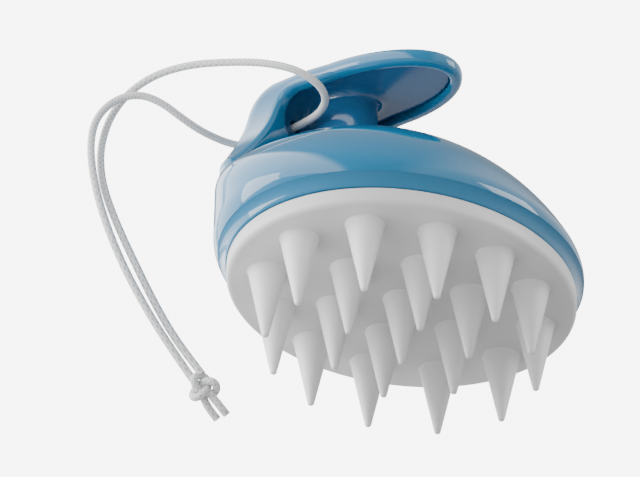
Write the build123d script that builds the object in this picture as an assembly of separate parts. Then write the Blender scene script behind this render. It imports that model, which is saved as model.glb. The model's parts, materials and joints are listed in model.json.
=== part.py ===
from build123d import *
import os
from math import cos, pi, radians, sin, tan

os.makedirs("parts", exist_ok=True)

# ---------------------------------------------------------------- driving dimensions, mm
# The tips of the bristles stand on z = 0, the long axis is X, and the handle's neck is at +Y.
body_length = 95.8
body_width = 82.8
wall = 2.2

bristle_length = 17.6
bristle_base_radius = 4.53
bristle_nub_radius = 0.8
bristle_tip_flat = 0.35
bristle_nub_height = 0.55
flange_overhang = 1.1
flange_thickness = 1.9
bristle_fit = 0.05

outer_ring_length = 70.5
outer_ring_width = 57.8
inner_ring_length = 36.5
inner_ring_width = 30.3
outer_ring_count = 12
inner_ring_count = 6
ring_spacing_correction = 0.047

face_depth = 4.3
face_edge_round = 1.4
pad_margin = 3.35
seam_gap = 0.3
lip_depth = 4.0
lip_fit = 0.1
carrier_plate = 2.0

turn_under_height = 3.2
turn_under_setback = 1.9
bulge_height = 4.1
bulge_setback = 1.1
dome_radius = 58.2
dome_peak_y = 12.4
dome_peak_height = 60.5

handle_height = 87.0
handle_rear_y = 39.5
handle_half_width = 14.5
tongue_slope = 0.13
tongue_tip_y = -15.9
tongue_thickness = 4.6
tongue_nose_length = 28.0
rim_width = 3.0
neck_front_y = 27.0
neck_flare_half_width = 29.0
neck_flare_low = 46.0
neck_flare_top = 76.0
neck_corner_radius = 10.0
inner_corner_radius = 5.0
tip_round_share = 0.3
foot_round = 0.5
stem_centre_y = 20.0
stem_half_width = 6.0
stem_half_depth = 10.0
stem_flare = 2.8
liner_thickness = 1.8

cord_diameter = 1.9
cord_hole_x = -7.9
cord_hole_z = 74.6
cord_hole_radius = 1.6

# ---------------------------------------------------------------- worked out from them
half_length = body_length / 2
half_width = body_width / 2
face_z = bristle_length
rim_z = face_z + face_depth + seam_gap
face_top_z = rim_z - seam_gap
turn_under_z = rim_z + turn_under_height
bulge_z = turn_under_z + bulge_height
rim_setback = bulge_setback + turn_under_setback
dome_centre_z = dome_peak_height - dome_radius
base_z = rim_z + lip_depth
lip_setback = rim_setback + wall
flange_radius = bristle_base_radius + flange_overhang
flange_z = face_top_z - flange_thickness


def oval(setback, z):
    """The body's elliptical outline at a height, drawn in by a setback."""
    return Plane.XY.offset(z) * Ellipse(half_length - setback, half_width - setback)


def oval_block(setback, z_low, z_high):
    """An upright elliptical block between two heights."""
    return extrude(oval(setback, z_low), amount=z_high - z_low)


def dome_ball(inset):
    """The ball whose cap is the body's domed deck, drawn in by the wall."""
    return Pos(0, dome_peak_y, dome_centre_z) * Sphere(dome_radius - inset)


def dome_outer():
    """The body's outer form: turned-under rim, upright wall and domed deck."""
    turn_under = loft([oval(rim_setback, rim_z), oval(bulge_setback, turn_under_z)], ruled=True)
    bulge = loft([oval(bulge_setback, turn_under_z), oval(0, bulge_z)], ruled=True)
    upright = oval_block(0, bulge_z, dome_peak_height)
    return (turn_under + bulge + upright) & dome_ball(0)


def dome_hollow():
    """The space inside the body above its inward lip, with the opening through the lip."""
    room = oval_block(wall, base_z, dome_peak_height) & dome_ball(wall)
    mouth = oval_block(lip_setback, rim_z - 1, base_z + 1)
    return room + mouth


def tongue_z(y, depth):
    """Height at a depth below the handle's top, which slopes down towards the tongue's nose."""
    return handle_height - tongue_slope * (handle_rear_y - y) - depth


def side_profile(inset, front_y, under_depth):
    """The handle seen from the side, as a face in the YZ plane."""
    rear = handle_rear_y - inset
    tip = tongue_tip_y + inset
    foot_z = base_z + wall
    points = [
        (rear, foot_z),
        (rear, tongue_z(rear, inset)),
        (tip, tongue_z(tip, inset)),
        (tip, tongue_z(tip, under_depth)),
        (front_y, tongue_z(front_y, under_depth)),
        (front_y, foot_z),
    ]
    tip_round = tip_round_share * (under_depth - inset)
    radii = [foot_round, neck_corner_radius - inset, tip_round, tip_round, inner_corner_radius, foot_round]
    return make_face(Plane.YZ * FilletPolyline(points, radius=radii, close=True))


def front_profile(inset):
    """The handle seen from the front: straight sides above, flaring into the body below."""
    narrow = handle_half_width - inset
    wide = neck_flare_half_width - inset
    right = [(wide, base_z + wall), (wide, neck_flare_low), (narrow, neck_flare_top), (narrow, handle_height)]
    left = [(-x, z) for x, z in reversed(right)]
    return make_face(Plane.XZ * Polyline(right + left, close=True))


def top_outline(inset):
    """The handle seen from above: a rounded nose at the front, open at the rear."""
    nose_y = tongue_tip_y + tongue_nose_length
    nose = Pos(0, nose_y) * Ellipse(handle_half_width - inset, tongue_nose_length - inset)
    rest = Pos(0, nose_y + body_width / 2) * Rectangle(body_length, body_width)
    return nose + rest


def hook(inset, front_y, under_depth):
    """The handle as a solid hook, drawn in by an inset on its outer side."""
    side = extrude(side_profile(inset, front_y, under_depth), amount=half_length, both=True)
    front = extrude(front_profile(inset), amount=body_width, both=True)
    above = extrude(top_outline(inset), amount=handle_height + 1)
    within_body = oval_block(inset, base_z, handle_height + 1)
    return side & front & above & within_body


def stem_oval(inset, z):
    """The stem's elliptical outline at a height, drawn in by an inset."""
    return Pos(0, stem_centre_y, z) * Ellipse(stem_half_width - inset, stem_half_depth - inset)


def stem(inset, z_low):
    """The oval stem under the tongue, flared where it meets the underside."""
    under_z = tongue_z(stem_centre_y, tongue_thickness)
    top_z = under_z + liner_thickness / 2
    flare_z = under_z - stem_flare
    shaft = extrude(stem_oval(inset, z_low), amount=top_z - z_low)
    flare = loft([stem_oval(inset, flare_z), stem_oval(inset - stem_flare, under_z)], ruled=True)
    return shaft + flare


def cord_hole():
    """The round passage through the neck, beside the stem, that the cord goes through."""
    start = Plane(origin=(cord_hole_x, 0, cord_hole_z), z_dir=(0, 1, 0))
    return extrude(start * Circle(cord_hole_radius), amount=body_width)


def handle_space():
    """The opening on the handle's inner side that the liner fills, with the hollow behind it."""
    narrow = handle_half_width - rim_width
    width_limit = Pos(0, 0, handle_height / 2) * Box(2 * narrow, 2 * body_width, 2 * handle_height)
    outline = extrude(top_outline(rim_width), amount=handle_height + 1)
    return hook(wall, neck_front_y, tongue_thickness) & width_limit & outline


def liner_skin():
    """The liner before it is trimmed: underside plate, neck wall and stem, all of one thickness."""
    behind = hook(wall, neck_front_y + liner_thickness, tongue_thickness - liner_thickness)
    outer_stem = stem(0, base_z + wall)
    inner_stem = stem(liner_thickness, base_z + wall)
    plates = handle_space() - behind
    return plates + (outer_stem - behind) - inner_stem


def make_upper_shell():
    """Body and handle, one hollow moulding."""
    outer = hook(0, neck_front_y, tongue_thickness)
    outside = dome_outer() + outer
    space = handle_space() - dome_ball(0)
    return outside - dome_hollow() - space - cord_hole()


def make_handle_liner():
    """The liner that closes the handle's inner side, with the stem."""
    return liner_skin() - dome_ball(0) - cord_hole()


def ellipse_angle(turn):
    """The angle parameter that spaces points evenly along the ring."""
    return turn + ring_spacing_correction * sin(2 * turn)


def ring_places(length, width, count):
    """Evenly spaced places on an elliptical ring, the first one on +X."""
    turns = [ellipse_angle(2 * pi * i / count) for i in range(count)]
    return [(length / 2 * cos(t), width / 2 * sin(t)) for t in turns]


def bristle_places():
    """One bristle in the middle, then the inner and the outer ring."""
    inner = ring_places(inner_ring_length, inner_ring_width, inner_ring_count)
    outer = ring_places(outer_ring_length, outer_ring_width, outer_ring_count)
    return [(0.0, 0.0)] + inner + outer


def make_bristle(place):
    """A soft cone with a small nub, and a flange that the face plate holds down."""
    section = [
        (0, 0),
        (bristle_tip_flat, 0),
        (bristle_nub_radius, bristle_nub_height),
        (bristle_base_radius, face_z),
        (bristle_base_radius, flange_z),
        (flange_radius, flange_z),
        (flange_radius, face_top_z),
        (0, face_top_z),
    ]
    face = make_face(Plane.XZ * Polyline(section, close=True))
    return Pos(place[0], place[1], 0) * revolve(face, Axis.Z)


def make_pad_face():
    """The white face plate: one stepped hole for each bristle."""
    plate = oval_block(pad_margin, face_z, face_top_z)
    plate = fillet(plate.edges().group_by(Axis.Z)[0], face_edge_round)
    for x, y in bristle_places():
        hole = Pos(x, y, face_z) * Cylinder(bristle_base_radius + bristle_fit, 3 * face_depth)
        seat = Pos(x, y, flange_z) * Cylinder(
            flange_radius + bristle_fit, flange_thickness + 1, align=(Align.CENTER, Align.CENTER, Align.MIN)
        )
        plate = plate - hole - seat
    return plate


def make_pad_carrier():
    """The backing tray: it closes the bristles' seats and slides into the body's lip."""
    tray = oval_block(lip_setback + lip_fit, face_top_z, base_z)
    return tray - oval_block(lip_setback + lip_fit + wall, face_top_z + carrier_plate, base_z + 1)


# ---------------------------------------------------------------- cord
# One loop of braided cord, laid by hand: the front strand leaves the neck's inner side, arches over
# the neck's flank and falls to the knot; the rear strand leaves the neck's back and joins it there.
front_route = [
    (-7.9, 29.2, 74.6),
    (-7.9, 26.3, 74.6),
    (-8.1, 23.3, 74.5),
    (-8.7, 20.2, 74.4),
    (-9.9, 17.3, 74.5),
    (-11.7, 14.8, 74.9),
    (-14.4, 13.6, 76.0),
    (-17.2, 14.0, 77.3),
    (-19.7, 15.4, 78.7),
    (-21.7, 17.5, 80.0),
    (-23.6, 20.7, 81.5),
    (-25.6, 25.6, 83.4),
    (-27.9, 33.1, 85.6),
    (-30.7, 42.1, 87.6),
    (-33.3, 51.4, 87.7),
    (-34.9, 59.0, 85.2),
    (-36.2, 63.6, 80.0),
    (-36.9, 65.7, 73.8),
    (-36.9, 66.4, 67.3),
    (-36.1, 65.5, 59.2),
    (-33.9, 63.0, 49.6),
    (-30.2, 59.7, 38.4),
    (-25.2, 56.5, 26.6),
    (-20.2, 53.4, 17.1),
    (-15.5, 50.1, 9.9),
]
rear_route = [
    (-7.9, 29.2, 74.6),
    (-7.9, 32.3, 74.6),
    (-7.8, 35.6, 74.6),
    (-7.9, 39.0, 74.6),
    (-8.9, 42.1, 74.6),
    (-11.2, 44.7, 74.7),
    (-14.3, 46.2, 74.9),
    (-17.6, 47.2, 75.2),
    (-21.5, 48.2, 75.8),
    (-26.2, 49.6, 77.6),
    (-30.8, 51.5, 80.3),
    (-34.6, 54.5, 82.2),
    (-37.4, 58.3, 82.1),
    (-39.3, 62.3, 80.2),
    (-40.3, 65.4, 76.3),
    (-40.2, 66.6, 69.7),
    (-38.9, 66.1, 60.4),
    (-36.4, 64.3, 49.4),
    (-32.3, 61.3, 36.9),
    (-26.8, 57.7, 25.0),
    (-21.1, 54.6, 15.6),
    (-16.4, 52.4, 9.1),
]
knot_centre = (-14.5, 50.6, 7.0)
knot_size = 6.6
tail_routes = [
    [(-12.7, 52.0, 5.0), (-10.6, 52.0, 2.9), (-8.3, 51.6, 1.2)],
    [(-12.7, 49.5, 5.0), (-10.7, 48.7, 2.9), (-8.4, 48.4, 1.2)],
]


def corner_radii(route):
    """The largest tangent arc at each corner of a route that its two runs allow."""
    radii = []
    for before, here, after in zip(route, route[1:], route[2:]):
        run_in = Vector(*here) - Vector(*before)
        run_out = Vector(*after) - Vector(*here)
        half_turn = radians(run_in.get_angle(run_out)) / 2
        radii.append(0.45 * min(run_in.length, run_out.length) / tan(half_turn))
    return radii


def make_cord(name, route):
    """A round tube along straight runs joined by tangent arcs."""
    radii = corner_radii(route)
    path = FilletPolyline(route, radius=radii)
    start = Plane(origin=path @ 0, z_dir=path % 0)
    tube = sweep(start * Circle(cord_diameter / 2), path=path)
    expected = pi * cord_diameter**2 / 4 * path.length
    print(name, "length", round(path.length, 1), "radii", [round(r, 1) for r in radii])
    print(name, "volume ratio", round(tube.volume / expected, 4))
    return tube


def make_knot(cords):
    """The overhand knot's outer shape, closed round the strands and the tails."""
    ball = Pos(*knot_centre) * Sphere(knot_size / 2)
    for cord in cords:
        ball = ball - cord
    return max(ball.solids(), key=lambda solid: solid.volume)


# ---------------------------------------------------------------- build and write
nodes = {
    "upper_shell": make_upper_shell(),
    "handle_liner": make_handle_liner(),
    "pad_face": make_pad_face(),
    "pad_carrier": make_pad_carrier(),
}
for number, place in enumerate(bristle_places(), start=1):
    nodes[f"bristle_{number:02d}"] = make_bristle(place)
nodes["cord_front"] = make_cord("cord_front", front_route)
nodes["cord_rear"] = make_cord("cord_rear", rear_route)
nodes["cord_tail_a"] = make_cord("cord_tail_a", tail_routes[0])
nodes["cord_tail_b"] = make_cord("cord_tail_b", tail_routes[1])
nodes["cord_knot"] = make_knot([nodes[n] for n in ("cord_front", "cord_rear", "cord_tail_a", "cord_tail_b")])

for name, shape in nodes.items():
    export_step(shape, f"parts/{name}.step")
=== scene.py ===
"""Looks of the scalp massager brush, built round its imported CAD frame."""

import json
import logging
import math
from dataclasses import dataclass, field
from enum import Enum

import bpy
import numpy as np
from mathutils import Matrix, Vector

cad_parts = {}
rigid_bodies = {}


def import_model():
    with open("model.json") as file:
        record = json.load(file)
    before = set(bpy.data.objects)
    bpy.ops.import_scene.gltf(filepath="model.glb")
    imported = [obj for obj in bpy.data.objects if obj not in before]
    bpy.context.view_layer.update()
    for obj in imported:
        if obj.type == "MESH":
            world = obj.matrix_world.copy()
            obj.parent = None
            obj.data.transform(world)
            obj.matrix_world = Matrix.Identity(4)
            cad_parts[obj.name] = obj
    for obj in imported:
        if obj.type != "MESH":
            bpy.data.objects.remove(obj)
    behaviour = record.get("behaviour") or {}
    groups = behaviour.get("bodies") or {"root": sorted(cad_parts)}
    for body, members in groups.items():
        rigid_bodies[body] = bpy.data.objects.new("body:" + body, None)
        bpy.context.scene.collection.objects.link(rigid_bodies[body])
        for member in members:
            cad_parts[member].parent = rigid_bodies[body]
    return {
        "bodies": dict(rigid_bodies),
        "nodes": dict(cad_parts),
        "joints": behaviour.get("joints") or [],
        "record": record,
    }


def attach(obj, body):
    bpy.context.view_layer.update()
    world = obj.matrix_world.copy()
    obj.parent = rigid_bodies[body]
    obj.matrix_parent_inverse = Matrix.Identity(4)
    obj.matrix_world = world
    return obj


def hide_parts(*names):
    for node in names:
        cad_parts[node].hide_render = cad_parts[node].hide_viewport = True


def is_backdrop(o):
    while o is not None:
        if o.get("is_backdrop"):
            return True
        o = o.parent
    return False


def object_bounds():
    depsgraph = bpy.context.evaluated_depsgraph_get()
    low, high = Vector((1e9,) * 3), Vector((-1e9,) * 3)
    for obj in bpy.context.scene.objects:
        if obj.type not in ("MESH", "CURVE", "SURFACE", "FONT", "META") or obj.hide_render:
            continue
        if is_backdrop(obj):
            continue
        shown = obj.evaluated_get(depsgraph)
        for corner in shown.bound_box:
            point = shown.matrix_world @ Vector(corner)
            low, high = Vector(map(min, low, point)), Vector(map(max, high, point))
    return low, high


logging.basicConfig(level=logging.INFO, format="%(message)s")
log = logging.getLogger("brush")
MM = 0.001


class Slot(Enum):
    """Material slots of the record."""

    SHELL = "blue_shell"
    LINER = "blue_liner"
    PAD = "white_pad"
    BRISTLE = "white_silicone"
    CORD = "grey_cord"


class Rides(Enum):
    """Bodies of the frame."""

    SHELL = "shell"
    PAD = "pad"


@dataclass(frozen=True)
class Finish:
    """One surface's look: colour, gloss and the size of its fine grain."""

    name: str
    color: tuple
    roughness: float
    grain_mm: float
    grain_depth_mm: float
    smudge: float = 0.04
    coat: float = 0.0
    subsurface: float = 0.0


SHELL_BLUE = Finish("shell_blue", (0.008, 0.150, 0.300), 0.06, 1.6, 0.0012, 0.03, 0.5)
# Handle panel: the shell blue made darker, as painted shade under the tongue.
LINER_BLUE_PAINTED_SHADE = Finish("liner_blue_painted_shade", (0.012, 0.085, 0.20), 0.12, 1.4, 0.0015, 0.03, 0.3)
# Face plate: the bristles' white silicone made darker, as painted shade on the plate between the cones.
PAD_WHITE_PAINTED_SHADE = Finish("pad_white_painted_shade", (0.66, 0.66, 0.66), 0.38, 0.5, 0.004, 0.05)
CARRIER_WHITE = Finish("carrier_white", (0.76, 0.76, 0.76), 0.45, 0.5, 0.005, 0.05)
SILICONE = Finish("silicone_white", (0.86, 0.86, 0.86), 0.42, 0.35, 0.005, 0.05, 0.0, 0.0)
CORD_GREY = Finish("cord_grey", (0.74, 0.74, 0.74), 0.78, 0.25, 0.01, 0.05)


@dataclass
class BodySizes:
    """Body and handle, in millimetres."""

    half_length: float = 47.9
    half_width: float = 41.4
    ball_radius: float = 58.2
    ball_y: float = 12.4
    ball_top: float = 60.5
    shoulder: float = 2.6
    bulge_z: float = 29.5
    edge_z: float = 25.4
    rim_z: float = 22.2
    bulge_setback: float = 1.1
    rim_setback: float = 3.0
    wall: float = 2.2
    lip_top: float = 26.2
    lip_edge: float = 0.2
    under_skin: float = 0.004
    split_z: float = 27.5
    top_z: float = 87.0
    slope: float = 0.13
    rear_y: float = 39.5
    half_handle: float = 14.5
    swell: float = 1.8
    tip_y: float = -15.9
    nose: float = 28.0
    thickness: float = 4.6
    neck_y: float = 27.0
    rear_round: float = 10.5
    inner_round: float = 5.5
    roll: float = 2.2
    under_roll: float = 1.65
    rear_edge_roll: float = 3.0
    rear_edge_y: float = 20.0
    rear_edge_run: float = 15.0
    swell_run: float = 25.0
    flare_front_y: float = 14.0
    flare_run: float = 12.0
    flare_z: float = 80.0
    flare_gain: float = 0.06
    flare_power: float = 1.7
    flare_reach: float = 26.0
    rim: float = 3.0
    recess: float = 1.5
    recess_low_z: float = 69.5
    recess_round: float = 3.0
    pocket_extra: float = 1.6
    pocket_round: float = 0.2
    pocket_low_z: float = 62.0
    pocket_ease: float = 0.7
    liner_thickness: float = 1.5
    liner_fit: float = 0.14
    liner_edge: float = 0.25
    liner_foot: float = 0.8
    liner_rear_y: float = 31.0
    liner_hole_ease: float = 0.5
    blend: float = 6.0
    stem_y: float = 20.0
    stem_x: float = 6.0
    stem_depth: float = 10.0
    stem_blend: float = 3.0
    stem_sink: float = 1.2
    hole_x: float = -7.9
    hole_z: float = 74.6
    hole_radius: float = 1.6
    hole_front_y: float = 26.0
    hole_ease: float = 0.6

    @property
    def ball_z(self) -> float:
        """Height of the dome ball's centre."""
        return self.ball_top - self.ball_radius


@dataclass
class PadSizes:
    """Face plate and bristles, in millimetres."""

    half_length: float = 44.55
    half_width: float = 38.05
    low_z: float = 17.6
    high_z: float = 21.9
    edge_round: float = 1.4
    base_radius: float = 4.53
    nub_radius: float = 0.8
    nub_height: float = 0.55
    outer: tuple = (35.25, 28.9, 12)
    inner: tuple = (18.25, 15.15, 6)
    correction: float = 0.047


@dataclass
class CordSizes:
    """The cord's two strands, knot and tails, in millimetres."""

    diameter: float = 1.9
    front: list = field(default_factory=lambda: [
        (-7.9, 29.2, 74.6), (-7.9, 26.3, 74.6), (-8.1, 23.3, 74.5), (-8.7, 20.2, 74.4),
        (-9.9, 17.3, 74.5), (-11.7, 14.8, 74.9), (-14.4, 13.6, 76), (-17.2, 14, 77.3),
        (-19.7, 15.4, 78.7), (-21.7, 17.5, 80), (-23.6, 20.7, 81.5), (-25.6, 25.6, 83.4),
        (-27.9, 33.1, 85.6), (-30.7, 42.1, 87.6), (-33.3, 51.4, 87.7), (-34.9, 59, 85.2),
        (-36.2, 63.6, 80), (-36.9, 65.7, 73.8), (-36.9, 66.4, 67.3), (-36.1, 65.5, 59.2),
        (-33.9, 63, 49.6), (-30.2, 59.7, 38.4), (-25.2, 56.5, 26.6), (-20.2, 53.4, 17.1),
        (-15.5, 50.1, 9.9),
    ])
    rear: list = field(default_factory=lambda: [
        (-7.9, 29.2, 74.6), (-7.9, 32.3, 74.6), (-7.8, 35.6, 74.6), (-7.9, 39, 74.6),
        (-8.9, 42.1, 74.6), (-11.2, 44.7, 74.7), (-14.3, 46.2, 74.9), (-17.6, 47.2, 75.2),
        (-21.5, 48.2, 75.8), (-26.2, 49.6, 77.6), (-30.8, 51.5, 80.3), (-34.6, 54.5, 82.2),
        (-37.4, 58.3, 82.1), (-39.3, 62.3, 80.2), (-40.3, 65.4, 76.3), (-40.2, 66.6, 69.7),
        (-38.9, 66.1, 60.4), (-36.4, 64.3, 49.4), (-32.3, 61.3, 36.9), (-26.8, 57.7, 25),
        (-21.1, 54.6, 15.6), (-16.4, 52.4, 9.1),
    ])
    knot: tuple = (-14.5, 50.6, 7.0)
    tails: tuple = (
        ((-14.2, 51.6, 6.6), (-12.7, 52.0, 5.0), (-10.6, 52.0, 2.9), (-8.3, 51.6, 1.2)),
        ((-14.2, 49.9, 6.6), (-12.7, 49.5, 5.0), (-10.7, 48.7, 2.9), (-8.4, 48.4, 1.2)),
    )


# ---------------------------------------------------------------- rounded forms
def round_join(a: np.ndarray, b: np.ndarray, radius: float) -> np.ndarray:
    """Distance to the intersection of two forms, its edge rounded.

    Args:
        a, b: distances to the two forms, negative inside.
        radius: the edge's rounding in millimetres.
    Returns:
        The joined distance.
    """
    corner = np.hypot(np.maximum(a + radius, 0), np.maximum(b + radius, 0))
    return np.minimum(np.maximum(a, b), -radius) + corner


def soft_union(a: np.ndarray, b: np.ndarray, reach: float) -> np.ndarray:
    """Distance to the union of two forms, blended over a reach.

    Args:
        a, b: distances to the two forms.
        reach: how far from the seam the blend starts, in millimetres.
    Returns:
        The blended distance.
    """
    share = np.maximum(reach - np.abs(a - b), 0) / reach
    return np.minimum(a, b) - share * share * reach / 4


def soft_cut(a: np.ndarray, b: np.ndarray, reach: float) -> np.ndarray:
    """Distance to form a with form b taken away, the new edge eased over a reach."""
    return -soft_union(-a, b, reach)


def oval_distance(x: np.ndarray, y: np.ndarray, half_x, half_y) -> np.ndarray:
    """Close estimate of the distance to an ellipse in plan."""
    x = np.abs(x) + 1e-4
    k0 = np.sqrt((x / half_x) ** 2 + (y / half_y) ** 2)
    k1 = np.sqrt((x / half_x**2) ** 2 + (y / half_y**2) ** 2)
    return k0 * (k0 - 1) / k1


class BrushForm:
    """Distances to the brush's moulded forms, in millimetres."""

    def __init__(self, sizes: BodySizes):
        self.s = sizes

    def ball(self, x, y, z) -> np.ndarray:
        """The dome's ball."""
        s = self.s
        return np.sqrt(x**2 + (y - s.ball_y) ** 2 + (z - s.ball_z) ** 2) - s.ball_radius

    def side(self, x, y, z) -> np.ndarray:
        """The body's upright oval side, leaning in a little at the foot."""
        s = self.s
        lean = np.clip((s.bulge_z - z) / (s.bulge_z - s.edge_z), 0, 1) ** 2
        return oval_distance(x, y, s.half_length, s.half_width) + s.bulge_setback * lean

    def top(self, y, z) -> np.ndarray:
        """The handle's sloping top."""
        s = self.s
        return (z - s.top_z + s.slope * (s.rear_y - y)) / math.hypot(1, s.slope)

    def opening(self, y, z) -> np.ndarray:
        """The finger space in front of the neck and under the tongue."""
        s = self.s
        return round_join(self.top(y, z) + s.thickness, y - s.neck_y, s.inner_round)

    def plan(self, x, y, z) -> np.ndarray:
        """The handle's outline from above, flaring towards the body."""
        s = self.s
        centre_y = s.tip_y + s.nose
        flare = s.flare_gain * np.clip(s.flare_z - z, 0, s.flare_reach) ** s.flare_power
        behind = np.clip((y - centre_y) / s.swell_run, 0, 1)
        flare = flare * np.clip((y - s.flare_front_y) / s.flare_run, 0, 1)
        width = s.half_handle + s.swell * behind + flare
        return oval_distance(x, np.minimum(y - centre_y, 0), width, s.nose)

    def hook(self, x, y, z) -> np.ndarray:
        """Neck and tongue, their rims rolled."""
        s = self.s
        back = round_join(self.top(y, z), y - s.rear_y, s.rear_round)
        rearward = np.clip((y - s.rear_edge_y) / s.rear_edge_run, 0, 1)
        solid = round_join(back, self.plan(x, y, z), s.roll + s.rear_edge_roll * rearward)
        return round_join(solid, -self.opening(y, z), s.under_roll)

    def hole(self, x, z) -> np.ndarray:
        """The cord's passage through the neck."""
        s = self.s
        return np.hypot(x - s.hole_x, z - s.hole_z) - s.hole_radius

    def recess(self, x, y, z, inset: float) -> np.ndarray:
        """The sunk panel on the handle's inner side, in plan, drawn in by an inset."""
        s = self.s
        within = self.plan(x, y, np.maximum(z, s.flare_z)) + inset
        return round_join(within, s.recess_low_z + inset - s.rim - z, s.recess_round)

    def shell(self, x, y, z) -> np.ndarray:
        """Body and handle as one moulding, with the recess and the cord's hole."""
        s = self.s
        form = soft_union(self.ball(x, y, z), self.hook(x, y, z), s.blend)
        form = round_join(form, self.side(x, y, z), s.shoulder)
        depth = self.opening(y, z) - s.recess - s.pocket_extra
        pocket = round_join(self.recess(x, y, z, s.rim), depth, s.pocket_round)
        pocket = np.maximum(pocket, s.pocket_low_z - z)
        form = soft_cut(form, pocket, s.pocket_ease)
        drill = np.maximum(self.hole(x, z), s.hole_front_y - y)
        return soft_cut(form, drill, s.hole_ease)

    def liner(self, x, y, z) -> np.ndarray:
        """The panel inside the recess, with the oval stem."""
        s = self.s
        depth = self.opening(y, z)
        plate = np.maximum(s.recess - depth, depth - s.recess - s.liner_thickness)
        plate = round_join(plate, self.recess(x, y, z, s.rim + s.liner_fit), s.liner_edge)
        stem = oval_distance(x, y - s.stem_y, s.stem_x, s.stem_depth)
        stem = np.maximum(stem, self.top(y, z) + s.thickness - s.recess - s.stem_sink)
        form = soft_union(plate, stem, s.stem_blend)
        form = np.maximum(form, -self.ball(x, y, z) - s.liner_foot)
        form = np.maximum(form, y - s.liner_rear_y)
        return soft_cut(form, self.hole(x, z), s.liner_hole_ease)


class FormMesh:
    """Turns a distance function into an even, smooth mesh."""

    def __init__(self, distance, low: tuple, high: tuple, step: float):
        self.distance = distance
        self.low = np.array(low, float)
        self.step = step
        self.count = np.ceil((np.array(high) - self.low) / step).astype(int) + 1

    def gradient(self, points: np.ndarray) -> np.ndarray:
        """The distance's slope at points."""
        eps = 0.02
        slope = np.empty_like(points)
        for axis in range(3):
            ahead, back = points.copy(), points.copy()
            ahead[:, axis] += eps
            back[:, axis] -= eps
            slope[:, axis] = (self.distance(*ahead.T) - self.distance(*back.T)) / (2 * eps)
        return slope

    def settle(self, points: np.ndarray, rounds: int) -> np.ndarray:
        """Moves points onto the surface."""
        for _ in range(rounds):
            slope = self.gradient(points)
            size = np.maximum((slope**2).sum(1), 0.05)
            points = points - (self.distance(*points.T) / size)[:, None] * slope
        return points

    def cells(self):
        """Points in the cells that the surface crosses, and the quads between them."""
        axes = [self.low[a] + self.step * np.arange(self.count[a]) for a in range(3)]
        x, y, z = np.meshgrid(*axes, indexing="ij", sparse=True)
        values = self.distance(*np.broadcast_arrays(x, y, z)).astype(np.float32)
        inside = values < 0
        offsets = [(i, j, k) for i in (0, 1) for j in (0, 1) for k in (0, 1)]
        size = [n - 1 for n in self.count]
        total = np.zeros(size, np.int8)
        for i, j, k in offsets:
            total += inside[i : i + size[0], j : j + size[1], k : k + size[2]]
        mixed = (total > 0) & (total < 8)
        cell = np.argwhere(mixed)
        index = np.full(size, -1, np.int32)
        index[mixed] = np.arange(len(cell))
        corner = np.stack([values[tuple((cell + o).T)] for o in offsets], 1)
        place = np.zeros((len(cell), 3))
        hits = np.zeros(len(cell))
        for a in range(8):
            for b in range(a + 1, 8):
                oa, ob = np.array(offsets[a]), np.array(offsets[b])
                if np.abs(oa - ob).sum() != 1:
                    continue
                cross = (corner[:, a] < 0) != (corner[:, b] < 0)
                gap = np.where(cross, corner[:, a] - corner[:, b], 1)
                share = corner[:, a] / gap
                place[cross] += (oa + (ob - oa) * share[:, None])[cross]
                hits += cross
        points = self.low + self.step * (cell + place / hits[:, None])
        return points, self._quads(inside, index)

    def _quads(self, inside: np.ndarray, index: np.ndarray) -> np.ndarray:
        """One quad round each grid edge that the surface crosses."""
        quads = []
        for axis in range(3):
            one, two = (axis + 1) % 3, (axis + 2) % 3
            near = np.take(inside, range(self.count[axis] - 1), axis)
            far = np.take(inside, range(1, self.count[axis]), axis)
            edges = np.argwhere(near != far)
            good = (edges[:, one] > 0) & (edges[:, two] > 0)
            good &= (edges[:, one] < self.count[one] - 1) & (edges[:, two] < self.count[two] - 1)
            edges = edges[good]
            flip = near[tuple(edges.T)]
            ring = []
            for d_one, d_two in ((-1, -1), (0, -1), (0, 0), (-1, 0)):
                at = edges.copy()
                at[:, one] += d_one
                at[:, two] += d_two
                ring.append(index[tuple(at.T)])
            quad = np.stack(ring, 1)
            quad[~flip] = quad[~flip][:, ::-1]
            quads.append(quad)
        quads = np.concatenate(quads)
        return quads[(quads >= 0).all(1)]

    def build(self, name: str, relax: int = 10) -> bpy.types.Object:
        """Meshes the form.

        Args:
            name: the new object's name.
            relax: rounds of evening out.
        Returns:
            The object, in metres.
        """
        points, quads = self.cells()
        points = self.settle(points, 4)
        edges = np.concatenate([quads[:, [i, (i + 1) % 4]] for i in range(4)])
        degree = np.bincount(edges.ravel(), minlength=len(points))
        seen = np.sort(edges, 1)
        keys = seen[:, 0].astype(np.int64) * len(points) + seen[:, 1]
        _, first, times = np.unique(keys, return_index=True, return_counts=True)
        border = np.zeros(len(points), bool)
        border[seen[first[times == 1]].ravel()] = True
        for _ in range(relax):
            total = np.zeros_like(points)
            for axis in range(3):
                total[:, axis] = np.bincount(edges[:, 0], points[edges[:, 1], axis], len(points))
                total[:, axis] += np.bincount(edges[:, 1], points[edges[:, 0], axis], len(points))
            move = total / np.maximum(degree, 1)[:, None] - points
            slope = self.gradient(points)
            slope /= np.maximum(np.linalg.norm(slope, axis=1), 1e-6)[:, None]
            move -= (move * slope).sum(1)[:, None] * slope
            move[border] = 0
            points = self.settle(points + 0.6 * move, 1)
        points = self.settle(points, 2)
        mesh = bpy.data.meshes.new(name)
        mesh.from_pydata((points * MM).tolist(), [], quads.tolist())
        mesh.polygons.foreach_set("use_smooth", np.ones(len(quads), bool))
        mesh.update()
        obj = bpy.data.objects.new(name, mesh)
        bpy.context.collection.objects.link(obj)
        log.info("%s: %d points, %d quads", name, len(points), len(quads))
        return obj


# ---------------------------------------------------------------- plain modelling
def clear_selection() -> None:
    """Deselects everything, in object mode."""
    if bpy.context.object and bpy.context.object.mode != "OBJECT":
        bpy.ops.object.mode_set(mode="OBJECT")
    bpy.ops.object.select_all(action="DESELECT")


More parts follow.
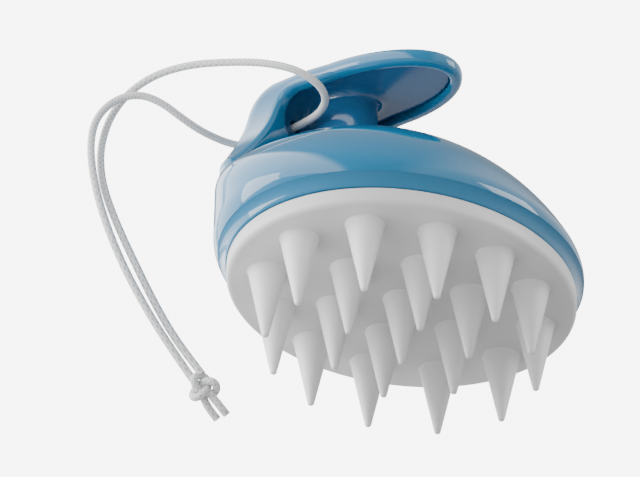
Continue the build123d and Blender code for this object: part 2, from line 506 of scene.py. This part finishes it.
def begin_circle(name: str, corners: int, half_x: float, half_y: float, z: float) -> bpy.types.Object:
    """Adds an oval ring of points and enters edit mode with it selected.

    Args:
        name: the object's name.
        corners: how many points.
        half_x, half_y: the oval's half sizes in millimetres.
        z: the ring's height in millimetres.
    Returns:
        The object.
    """
    clear_selection()
    bpy.ops.mesh.primitive_circle_add(vertices=corners, radius=1.0, location=(0, 0, 0))
    obj = bpy.context.object
    obj.name = obj.data.name = name
    obj["height"] = z
    bpy.ops.object.mode_set(mode="EDIT")
    bpy.ops.mesh.select_all(action="SELECT")
    bpy.ops.transform.resize(value=(half_x * MM, half_y * MM, 1), center_override=(0, 0, 0))
    bpy.ops.transform.translate(value=(0, 0, z * MM))
    obj["half"] = (half_x, half_y)
    return obj


def next_ring(obj: bpy.types.Object, half_x: float, half_y: float, z: float) -> None:
    """Extrudes the selected ring to new half sizes and height."""
    was = obj["half"]
    rise = (z - obj["height"]) * MM
    bpy.ops.mesh.extrude_region_move(TRANSFORM_OT_translate={"value": (0, 0, rise)})
    scale = (half_x / was[0], half_y / was[1], 1)
    bpy.ops.transform.resize(value=scale, center_override=(0, 0, z * MM))
    obj["half"] = (half_x, half_y)
    obj["height"] = z


def close_ring() -> None:
    """Closes the selected ring with a fan to its middle."""
    bpy.ops.mesh.edge_face_add()
    bpy.ops.mesh.poke()


def end_edit(obj: bpy.types.Object, angle: float = 40.0) -> None:
    """Leaves edit mode with the normals outwards and smooth shading up to an angle."""
    bpy.ops.mesh.select_all(action="SELECT")
    bpy.ops.mesh.normals_make_consistent(inside=False)
    bpy.ops.object.mode_set(mode="OBJECT")
    bpy.ops.object.shade_smooth_by_angle(angle=math.radians(angle))
    for key in ("half", "height"):
        del obj[key]


# ---------------------------------------------------------------- finishes
class NodeGroups:
    """Shared effects. They give only colours, masks and values."""

    def __init__(self):
        self.grain = self._grain()
        self.braid = self._braid()

    @staticmethod
    def _new(name: str, inputs: list, outputs: list):
        """Starts a group.

        Args:
            name: the group's name.
            inputs: kind, label and starting value of each input.
            outputs: kind and label of each output.
        Returns:
            The group, its input node and its output node.
        """
        group = bpy.data.node_groups.new(name, "ShaderNodeTree")
        for kind, label, value in inputs:
            socket = group.interface.new_socket(label, in_out="INPUT", socket_type=kind)
            if value is not None:
                socket.default_value = value
        for kind, label in outputs:
            group.interface.new_socket(label, in_out="OUTPUT", socket_type=kind)
        return group, group.nodes.new("NodeGroupInput"), group.nodes.new("NodeGroupOutput")

    @staticmethod
    def _math(group, operation: str, a, b=None):
        """Adds a sum to a group.

        Args:
            group: the group.
            operation: what the sum does.
            a, b: numbers or sockets.
        Returns:
            The sum's socket.
        """
        node = group.nodes.new("ShaderNodeMath")
        node.operation = operation
        for socket, value in zip(node.inputs, (a, b)):
            if value is None:
                continue
            if isinstance(value, (int, float)):
                socket.default_value = value
            else:
                group.links.new(value, socket)
        return node.outputs[0]

    def _grain(self):
        """Moulding grain and handling smudges, from object coordinates in metres."""
        group, gin, gout = self._new(
            "grain",
            [
                ("NodeSocketVector", "Place", None),
                ("NodeSocketFloat", "Size", 0.001),
                ("NodeSocketFloat", "Smudge", 0.04),
            ],
            [("NodeSocketFloat", "Height"), ("NodeSocketFloat", "Gloss"), ("NodeSocketFloat", "Speck")],
        )
        links = group.links
        scale = self._math(group, "DIVIDE", 1.0, gin.outputs["Size"])
        fine = group.nodes.new("ShaderNodeTexNoise")
        fine.inputs["Detail"].default_value = 2.0
        links.new(gin.outputs["Place"], fine.inputs["Vector"])
        links.new(scale, fine.inputs["Scale"])
        links.new(fine.outputs["Fac"], gout.inputs["Height"])
        broad = group.nodes.new("ShaderNodeTexNoise")
        broad.inputs["Scale"].default_value = 70.0
        broad.inputs["Detail"].default_value = 4.0
        broad.inputs["Roughness"].default_value = 0.6
        links.new(gin.outputs["Place"], broad.inputs["Vector"])
        centred = self._math(group, "SUBTRACT", broad.outputs["Fac"], 0.5)
        links.new(self._math(group, "MULTIPLY", centred, gin.outputs["Smudge"]), gout.inputs["Gloss"])
        dots = group.nodes.new("ShaderNodeTexVoronoi")
        dots.inputs["Scale"].default_value = 260.0
        links.new(gin.outputs["Place"], dots.inputs["Vector"])
        near = self._math(group, "LESS_THAN", dots.outputs["Distance"], 0.045)
        links.new(near, gout.inputs["Speck"])
        return group

    def _braid(self):
        """Two sets of plaited threads round a cord, from its length and turn coordinates."""
        group, gin, gout = self._new(
            "braid",
            [
                ("NodeSocketVector", "Along", None),
                ("NodeSocketFloat", "Turns", 60.0),
                ("NodeSocketFloat", "Threads", 8.0),
            ],
            [("NodeSocketFloat", "Height"), ("NodeSocketFloat", "Shade")],
        )
        links = group.links
        split = group.nodes.new("ShaderNodeSeparateXYZ")
        links.new(gin.outputs["Along"], split.inputs[0])
        run = self._math(group, "MULTIPLY", split.outputs[0], gin.outputs["Turns"])
        turn = self._math(group, "MULTIPLY", split.outputs[1], gin.outputs["Threads"])
        waves = []
        for sign in ("ADD", "SUBTRACT"):
            phase = self._math(group, "MULTIPLY", self._math(group, sign, run, turn), math.tau)
            waves.append(self._math(group, "MULTIPLY_ADD", self._math(group, "SINE", phase), 0.5))
        for wave in waves:
            wave.node.inputs[2].default_value = 0.5
        over = self._math(group, "MAXIMUM", waves[0], waves[1])
        links.new(over, gout.inputs["Height"])
        # Shade: painted shade, low between the threads and high on their crowns.
        links.new(self._math(group, "POWER", over, 0.6), gout.inputs["Shade"])
        return group


class Finishes:
    """Makes one procedural material for each finish."""

    def __init__(self, groups: NodeGroups):
        self.groups = groups

    def plastic(self, finish: Finish) -> bpy.types.Material:
        """A moulded plastic or silicone.

        Args:
            finish: the surface's look.
        Returns:
            The material.
        """
        material = bpy.data.materials.new(finish.name)
        material.use_nodes = True
        nodes, links = material.node_tree.nodes, material.node_tree.links
        shader = nodes["Principled BSDF"]
        coords = nodes.new("ShaderNodeTexCoord")
        grain = nodes.new("ShaderNodeGroup")
        grain.node_tree = self.groups.grain
        grain.inputs["Size"].default_value = finish.grain_mm * MM
        grain.inputs["Smudge"].default_value = finish.smudge * 4
        links.new(coords.outputs["Object"], grain.inputs["Place"])
        rough = nodes.new("ShaderNodeMath")
        rough.operation = "ADD"
        rough.use_clamp = True
        rough.inputs[0].default_value = finish.roughness
        links.new(grain.outputs["Gloss"], rough.inputs[1])
        links.new(rough.outputs[0], shader.inputs["Roughness"])
        tint = nodes.new("ShaderNodeMix")
        tint.data_type = "RGBA"
        tint.inputs["A"].default_value = (*finish.color, 1)
        tint.inputs["B"].default_value = (*(c * 0.72 for c in finish.color), 1)
        weight = nodes.new("ShaderNodeMath")
        weight.operation = "MULTIPLY"
        weight.inputs[1].default_value = 0.25
        links.new(grain.outputs["Speck"], weight.inputs[0])
        links.new(weight.outputs[0], tint.inputs["Factor"])
        links.new(tint.outputs["Result"], shader.inputs["Base Color"])
        bump = nodes.new("ShaderNodeBump")
        bump.inputs["Strength"].default_value = 0.35
        bump.inputs["Distance"].default_value = finish.grain_depth_mm * MM
        links.new(grain.outputs["Height"], bump.inputs["Height"])
        links.new(bump.outputs["Normal"], shader.inputs["Normal"])
        shader.inputs["IOR"].default_value = 1.5
        shader.inputs["Coat Weight"].default_value = finish.coat
        shader.inputs["Coat Roughness"].default_value = 0.02
        shader.inputs["Subsurface Weight"].default_value = finish.subsurface
        shader.inputs["Subsurface Scale"].default_value = 0.003
        return material

    def cord(self, finish: Finish, turns: float) -> bpy.types.Material:
        """Braided cord.

        Args:
            finish: the threads' look.
            turns: thread turns along the whole strand.
        Returns:
            The material.
        """
        material = bpy.data.materials.new(finish.name)
        material.use_nodes = True
        nodes, links = material.node_tree.nodes, material.node_tree.links
        shader = nodes["Principled BSDF"]
        coords = nodes.new("ShaderNodeTexCoord")
        braid = nodes.new("ShaderNodeGroup")
        braid.node_tree = self.groups.braid
        braid.inputs["Turns"].default_value = turns
        braid.inputs["Threads"].default_value = 4.0
        links.new(coords.outputs["UV"], braid.inputs["Along"])
        grain = nodes.new("ShaderNodeGroup")
        grain.node_tree = self.groups.grain
        grain.inputs["Size"].default_value = finish.grain_mm * MM
        links.new(coords.outputs["Object"], grain.inputs["Place"])
        # Painted shade: the threads darken towards the grooves between them.
        tint = nodes.new("ShaderNodeMix")
        tint.data_type = "RGBA"
        tint.inputs["A"].default_value = (*(c * 0.55 for c in finish.color), 1)
        tint.inputs["B"].default_value = (*finish.color, 1)
        links.new(braid.outputs["Shade"], tint.inputs["Factor"])
        links.new(tint.outputs["Result"], shader.inputs["Base Color"])
        shader.inputs["Roughness"].default_value = finish.roughness
        shader.inputs["Specular IOR Level"].default_value = 0.25
        fuzz = nodes.new("ShaderNodeBump")
        fuzz.inputs["Strength"].default_value = 0.5
        fuzz.inputs["Distance"].default_value = 0.02 * MM
        links.new(grain.outputs["Height"], fuzz.inputs["Height"])
        bump = nodes.new("ShaderNodeBump")
        bump.inputs["Strength"].default_value = 0.8
        bump.inputs["Distance"].default_value = 0.09 * MM
        links.new(braid.outputs["Height"], bump.inputs["Height"])
        links.new(fuzz.outputs["Normal"], bump.inputs["Normal"])
        links.new(bump.outputs["Normal"], shader.inputs["Normal"])
        return material


# ---------------------------------------------------------------- pieces
def place(obj: bpy.types.Object, material: bpy.types.Material, slot: Slot, body: Rides) -> None:
    """Gives a piece its material and body."""
    obj.data.materials.clear()
    obj.data.materials.append(material)
    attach(obj, body.value)


class Shell:
    """The blue body with its hooked handle, and the panel inside the handle."""

    def __init__(self, sizes: BodySizes, finishes: Finishes):
        self.s = sizes
        self.form = BrushForm(sizes)
        self.blue = finishes.plastic(SHELL_BLUE)
        # The panel's darker blue is painted shade under the handle's tongue.
        self.inner_blue_painted_shade = finishes.plastic(LINER_BLUE_PAINTED_SHADE)

    def build(self) -> None:
        """Builds the moulding, its turned-under rim and the handle's panel."""
        step = 0.5
        s = self.s
        mesh = FormMesh(self.form.shell, (-50, -43, s.split_z - 0.5), (50, 43, 88), step)
        upper = mesh.build("shell_upper")
        place(upper, self.blue, Slot.SHELL, Rides.SHELL)
        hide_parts("upper_shell")
        rim = self._rim()
        place(rim, self.blue, Slot.SHELL, Rides.SHELL)
        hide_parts("upper_shell")
        step = 0.36
        mesh = FormMesh(self.form.liner, (-14, -16, 56), (14, 33, 84), step)
        liner = mesh.build("handle_panel")
        place(liner, self.inner_blue_painted_shade, Slot.LINER, Rides.SHELL)
        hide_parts("handle_liner")

    def _outline(self, turn: np.ndarray, z: float) -> np.ndarray:
        """Distance from the axis to the outer wall at each turn, at a height."""
        low, high = np.full(len(turn), 10.0), np.full(len(turn), 70.0)
        for _ in range(40):
            middle = (low + high) / 2
            at = (middle * np.cos(turn), middle * np.sin(turn), np.full(len(turn), z))
            inside = round_join(self.form.ball(*at), self.form.side(*at), self.s.shoulder) < 0
            low, high = np.where(inside, middle, low), np.where(inside, high, middle)
        return low

    def _rim(self) -> bpy.types.Object:
        """The wall's lower edge, the turn under it, the lip and the hollow inside."""
        s = self.s
        corners = 288
        turn = np.arange(corners) * math.tau / corners
        crease = self._outline(turn, s.edge_z)
        heights = (s.split_z, 27.1, 26.7, 26.3, 26.0, 25.8, 25.6)
        walls = [(self._outline(turn, z) - s.under_skin, z) for z in heights]
        drop = s.edge_z - s.rim_z
        turned = s.rim_setback - s.bulge_setback
        under = [(0.0, 0.0), (0.05, 0.012), (0.14, 0.05), (0.35, 0.16)]
        under += [(0.65, 0.4), (0.88, 0.72), (0.97, 0.9), (1.04, 0.97)]
        walls += [(crease - turned * inward, s.edge_z - drop * down) for inward, down in under]
        foot = crease - turned
        lip = foot - s.wall
        walls += [(foot - s.lip_edge, s.rim_z), (lip + s.lip_edge, s.rim_z), (lip, s.rim_z + s.lip_edge)]
        walls += [(lip, s.lip_top - s.lip_edge), (lip + s.lip_edge, s.lip_top)]
        walls += [(crease - 1.2, s.lip_top), (crease - 1.1, 29.0)]
        rings = []
        for reach, z in walls:
            rings.append(np.stack([reach * np.cos(turn), reach * np.sin(turn), np.full(corners, z)], 1))
        inner = s.ball_radius - s.wall
        for share in (1.0, 0.97, 0.93, 0.87, 0.79, 0.69, 0.57, 0.44, 0.3, 0.15, 0.04):
            x = (s.half_length - s.wall) * share * np.cos(turn)
            y = (s.half_width - s.wall) * share * np.sin(turn)
            z = s.ball_z + np.sqrt(inner**2 - x**2 - (y - s.ball_y) ** 2)
            rings.append(np.stack([x, y, np.maximum(z, 26.5)], 1))
        points = np.concatenate(rings) * MM
        faces = []
        for start in range(0, (len(rings) - 1) * corners, corners):
            for i in range(corners):
                j = (i + 1) % corners
                faces.append((start + i, start + corners + i, start + corners + j, start + j))
        mesh = bpy.data.meshes.new("shell_rim")
        mesh.from_pydata(points.tolist(), [], faces)
        obj = bpy.data.objects.new("shell_rim", mesh)
        bpy.context.collection.objects.link(obj)
        clear_selection()
        bpy.context.view_layer.objects.active = obj
        obj.select_set(True)
        bpy.ops.object.shade_smooth_by_angle(angle=math.radians(35))
        log.info("shell_rim: %d faces", len(faces))
        return obj


class Pad:
    """The white face plate and its bristles."""

    def __init__(self, sizes: PadSizes, finishes: Finishes):
        self.s = sizes
        # The plate's darker white is painted shade between the bristles.
        self.white = finishes.plastic(PAD_WHITE_PAINTED_SHADE)
        self.soft = finishes.plastic(SILICONE)
        self.carrier = finishes.plastic(CARRIER_WHITE)

    def build(self, frame: dict) -> None:
        """Builds the plate and one bristle for each place."""
        plate = self._plate()
        place(plate, self.white, Slot.PAD, Rides.PAD)
        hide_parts("pad_face")
        node = frame["nodes"]["pad_carrier"]
        node.data.materials.clear()
        node.data.materials.append(self.carrier)
        pattern = self._bristle()
        for number, (x, y) in enumerate(self._places(), start=1):
            name = f"cone_{number:02d}"
            cone = bpy.data.objects.new(name, pattern.data.copy())
            cone.data.name = name
            cone.data.transform(Matrix.Translation((x * MM, y * MM, 0)))
            bpy.context.collection.objects.link(cone)
            place(cone, self.soft, Slot.BRISTLE, Rides.PAD)
            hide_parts(f"bristle_{number:02d}")
        bpy.data.objects.remove(pattern)
        log.info("pad: plate and %d bristles", number)

    def _places(self) -> list:
        """The middle, then the inner and the outer ring."""
        found = [(0.0, 0.0)]
        for half_x, half_y, count in (self.s.inner, self.s.outer):
            for i in range(count):
                turn = math.tau * i / count
                turn += self.s.correction * math.sin(2 * turn)
                found.append((half_x * math.cos(turn), half_y * math.sin(turn)))
        return found

    def _plate(self) -> bpy.types.Object:
        """A solid oval plate with a rounded lower edge and an eased upper one."""
        s = self.s
        rows = [(s.edge_round * (1 - math.sin(a)), s.low_z + s.edge_round * (1 - math.cos(a)))
                for a in (math.radians(d) for d in range(0, 91, 10))]
        rows += [(0, s.high_z - 0.25), (0.07, s.high_z - 0.07), (0.25, s.high_z)]
        first, low = rows[0]
        plate = begin_circle("pad_plate", 288, s.half_length - first, s.half_width - first, low)
        for setback, z in rows[1:]:
            next_ring(plate, s.half_length - setback, s.half_width - setback, z)
        close_ring()
        bpy.ops.mesh.select_all(action="DESELECT")
        bpy.ops.mesh.select_mode(type="EDGE")
        bpy.ops.mesh.select_non_manifold()
        close_ring()
        bpy.ops.mesh.select_mode(type="VERT")
        end_edit(plate, 30)
        return plate

    def _bristle(self) -> bpy.types.Object:
        """A tall cone with a small nub at the tip and an eased shoulder at the plate."""
        s = self.s
        top = s.low_z + 0.6
        slope = (s.base_radius - s.nub_radius) / (s.low_z - s.nub_height)
        rows = [(0.3, 0.02), (0.52, 0.10), (0.70, 0.28), (0.77, 0.45), (0.80, 0.62)]
        for z in (1.2, 2.5, 5, 8, 11, 14, 16.4):
            rows.append((s.nub_radius + slope * (z - s.nub_height), z))
        for radius, below in ((4.36, 0.62), (4.47, 0.3), (4.6, 0.1), (4.72, -0.02)):
            rows.append((radius, s.low_z - below))
        rows.append((4.72, top))
        cone = begin_circle("cone_pattern", 56, rows[0][0], rows[0][0], rows[0][1])
        close_ring()
        bpy.ops.mesh.select_all(action="DESELECT")
        bpy.ops.mesh.select_mode(type="EDGE")
        bpy.ops.mesh.select_non_manifold()
        for radius, z in rows[1:]:
            next_ring(cone, radius, radius, z)
        bpy.ops.mesh.select_mode(type="VERT")
        end_edit(cone, 50)
        return cone


class Cord:
    """The wrist cord: two strands, the knot and the tails."""

    def __init__(self, sizes: CordSizes, finishes: Finishes):
        self.s = sizes
        self.finishes = finishes

    def build(self) -> None:
        """Lays the strands and ties the knot."""
        s = self.s
        knot = self._knot()
        tails = [self._tube(f"tail_{letter}", route, 5) for letter, route in zip("ab", s.tails)]
        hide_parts("cord_knot")
        for tail, node in zip(tails, ("cord_tail_a", "cord_tail_b")):
            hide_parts(node)
        for name, node, route, pieces in (
            ("strand_front", "cord_front", s.front, [knot] + tails),
            ("strand_rear", "cord_rear", s.rear, []),
        ):
            length = sum(math.dist(a, b) for a, b in zip(route, route[1:]))
            strand = self._tube(name, route, length / 1.25)
            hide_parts(node)
            log.info("%s: %.0f mm", name, length)

    def _tube(self, name: str, route, turns: float) -> bpy.types.Object:
        """A round cord along a route."""
        curve = bpy.data.curves.new(name, "CURVE")
        curve.dimensions = "3D"
        curve.resolution_u = 12
        curve.bevel_depth = self.s.diameter / 2 * MM
        curve.bevel_resolution = 6
        curve.use_fill_caps = True
        spline = curve.splines.new("NURBS")
        spline.points.add(len(route) - 1)
        for point, at in zip(spline.points, route):
            point.co = (at[0] * MM, at[1] * MM, at[2] * MM, 1)
        spline.order_u = 3
        spline.use_endpoint_u = True
        obj = bpy.data.objects.new(name, curve)
        bpy.context.collection.objects.link(obj)
        place(obj, self.finishes.cord(CORD_GREY, turns), Slot.CORD, Rides.SHELL)
        return obj

    def _knot(self) -> bpy.types.Object:
        """An overhand knot pulled tight, lying round the strands."""
        centre = Vector(self.s.knot)
        along = Vector((0.45, -0.1, -0.89)).normalized()
        view = Vector((-0.635, -0.580, -0.510)).normalized()
        side = along.cross(view).normalized()
        out = side.cross(along).normalized()
        route = []
        for i in range(49):
            t = math.tau * i / 48
            a = (math.sin(t) + 2 * math.sin(2 * t)) * 1.12
            b = (math.cos(t) - 2 * math.cos(2 * t)) * 1.0
            c = -math.sin(3 * t) * 1.35
            route.append(tuple(centre + side * a + along * b + out * c))
        return self._tube("knot_wraps", route, 30)


# ---------------------------------------------------------------- stage
class Studio:
    """Camera, pale floor and soft boxes."""

    azimuth = -47.574
    elevation = -30.653
    roll = -0.554
    distance_mm = 1102.558
    lens_mm = 266.681
    sensor_mm = 36
    aim_right_mm = -18.981
    aim_up_mm = 29.187
    backdrop = 7.5
    fill = 0.36
    left_edge = (0.20, 0.34)
    left_glow = 3.2
    right_edge = (0.18, 0.45)
    right_glow = 0.9

    def build(self) -> None:
        """Places everything that isn't the object."""
        self._camera()
        self._world()
        self._floor()
        self._lights()

    def _axes(self):
        """The camera's right, up and backward directions."""
        a, e, r = (math.radians(v) for v in (self.azimuth, self.elevation, self.roll))
        back = Vector((math.sin(a) * math.cos(e), -math.cos(a) * math.cos(e), math.sin(e)))
        right = Vector((math.cos(a), math.sin(a), 0))
        up = back.cross(right)
        return right * math.cos(r) - up * math.sin(r), up * math.cos(r) + right * math.sin(r), back

    def _camera(self) -> None:
        """A long lens that looks up at the bristles from below."""
        right, up, back = self._axes()
        aim = right * self.aim_right_mm + up * self.aim_up_mm
        ahead = (aim - back * self.distance_mm).normalized()
        new_right = ahead.cross(up).normalized()
        new_up = new_right.cross(ahead)
        data = bpy.data.cameras.new("camera")
        data.lens = self.lens_mm
        data.sensor_width = self.sensor_mm
        data.clip_start = 0.05
        data.clip_end = 20
        camera = bpy.data.objects.new("camera", data)
        turn = Matrix((new_right, new_up, -ahead)).transposed().to_4x4()
        camera.matrix_world = Matrix.Translation(back * self.distance_mm * MM) @ turn
        bpy.context.collection.objects.link(camera)
        bpy.context.scene.camera = camera

    def _world(self) -> None:
        """A white room with a bright left side and a softer right side."""
        world = bpy.data.worlds.new("room")
        world.use_nodes = True
        nodes, links = world.node_tree.nodes, world.node_tree.links
        light = nodes["Background"]
        light.inputs["Color"].default_value = (0.97, 0.97, 0.97, 1)
        coords = nodes.new("ShaderNodeTexCoord")
        right = self._axes()[0]
        strength = None
        for toward, start, end, level in (
            (-right, *self.left_edge, self.left_glow),
            (right, *self.right_edge, self.right_glow),
        ):
            aim = nodes.new("ShaderNodeVectorMath")
            aim.operation = "DOT_PRODUCT"
            aim.inputs[1].default_value = toward
            links.new(coords.outputs["Generated"], aim.inputs[0])
            shade = nodes.new("ShaderNodeMapRange")
            shade.interpolation_type = "SMOOTHSTEP"
            shade.inputs["From Min"].default_value = start
            shade.inputs["From Max"].default_value = end
            shade.inputs["To Min"].default_value = self.fill / 2
            shade.inputs["To Max"].default_value = level
            links.new(aim.outputs["Value"], shade.inputs["Value"])
            if strength is None:
                strength = shade.outputs[0]
                continue
            total = nodes.new("ShaderNodeMath")
            links.new(strength, total.inputs[0])
            links.new(shade.outputs[0], total.inputs[1])
            strength = total.outputs[0]
        links.new(strength, light.inputs["Strength"])
        backdrop = nodes.new("ShaderNodeBackground")
        backdrop.inputs["Color"].default_value = (0.97, 0.97, 0.97, 1)
        backdrop.inputs["Strength"].default_value = self.backdrop
        path = nodes.new("ShaderNodeLightPath")
        mix = nodes.new("ShaderNodeMixShader")
        links.new(path.outputs["Is Camera Ray"], mix.inputs[0])
        links.new(light.outputs[0], mix.inputs[1])
        links.new(backdrop.outputs[0], mix.inputs[2])
        links.new(mix.outputs[0], nodes["World Output"].inputs["Surface"])
        bpy.context.scene.world = world

    def _floor(self) -> None:
        """A pale floor that is clear from below."""
        clear_selection()
        bpy.ops.mesh.primitive_plane_add(size=6, location=(0, 0, -0.0004))
        floor = bpy.context.object
        floor.name = "floor"
        material = bpy.data.materials.new("floor_pale")
        material.use_nodes = True
        nodes, links = material.node_tree.nodes, material.node_tree.links
        shader, output = nodes["Principled BSDF"], nodes["Material Output"]
        path = nodes.new("ShaderNodeLightPath")
        tone = nodes.new("ShaderNodeMapRange")
        tone.inputs["To Min"].default_value = 0.38
        tone.inputs["To Max"].default_value = 0.82
        links.new(path.outputs["Is Camera Ray"], tone.inputs["Value"])
        links.new(tone.outputs[0], shader.inputs["Base Color"])
        shader.inputs["Roughness"].default_value = 0.6
        clear = nodes.new("ShaderNodeBsdfTransparent")
        side = nodes.new("ShaderNodeNewGeometry")
        mix = nodes.new("ShaderNodeMixShader")
        links.new(side.outputs["Backfacing"], mix.inputs[0])
        links.new(shader.outputs[0], mix.inputs[1])
        links.new(clear.outputs[0], mix.inputs[2])
        links.new(mix.outputs[0], output.inputs["Surface"])
        floor.data.materials.append(material)
        floor.visible_shadow = False
        floor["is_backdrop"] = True

    def _lights(self) -> None:
        """Soft boxes to the left and the right."""
        right, up, back = self._axes()
        self._box("box_left", -right * 0.9 + up * 0.2 + back * 0.05, 0.6, 0.8, 9)
        self._box("box_right", right * 0.9 + up * 0.45 - back * 0.1, 0.5, 0.6, 4)

    def _box(self, name: str, at: Vector, width: float, height: float, power: float) -> None:
        """A rectangular soft box that faces the object."""
        data = bpy.data.lights.new(name, "AREA")
        data.shape = "RECTANGLE"
        data.size = width
        data.size_y = height
        data.energy = power
        lamp = bpy.data.objects.new(name, data)
        lamp.location = at
        lamp.rotation_euler = (-at).to_track_quat("-Z", "Y").to_euler()
        bpy.context.collection.objects.link(lamp)


def note_bounds(store: list) -> None:
    """Keeps the bounds of what is shown so far."""
    store.append([list(corner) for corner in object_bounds()])


def main() -> None:
    """Builds the object's looks in order."""
    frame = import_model()
    bounds: list = []
    note_bounds(bounds)
    groups = NodeGroups()
    finishes = Finishes(groups)
    Shell(BodySizes(), finishes).build()
    Pad(PadSizes(), finishes).build(frame)
    Cord(CordSizes(), finishes).build()
    Studio().build()
    note_bounds(bounds)


if __name__ == "__main__":
    main()
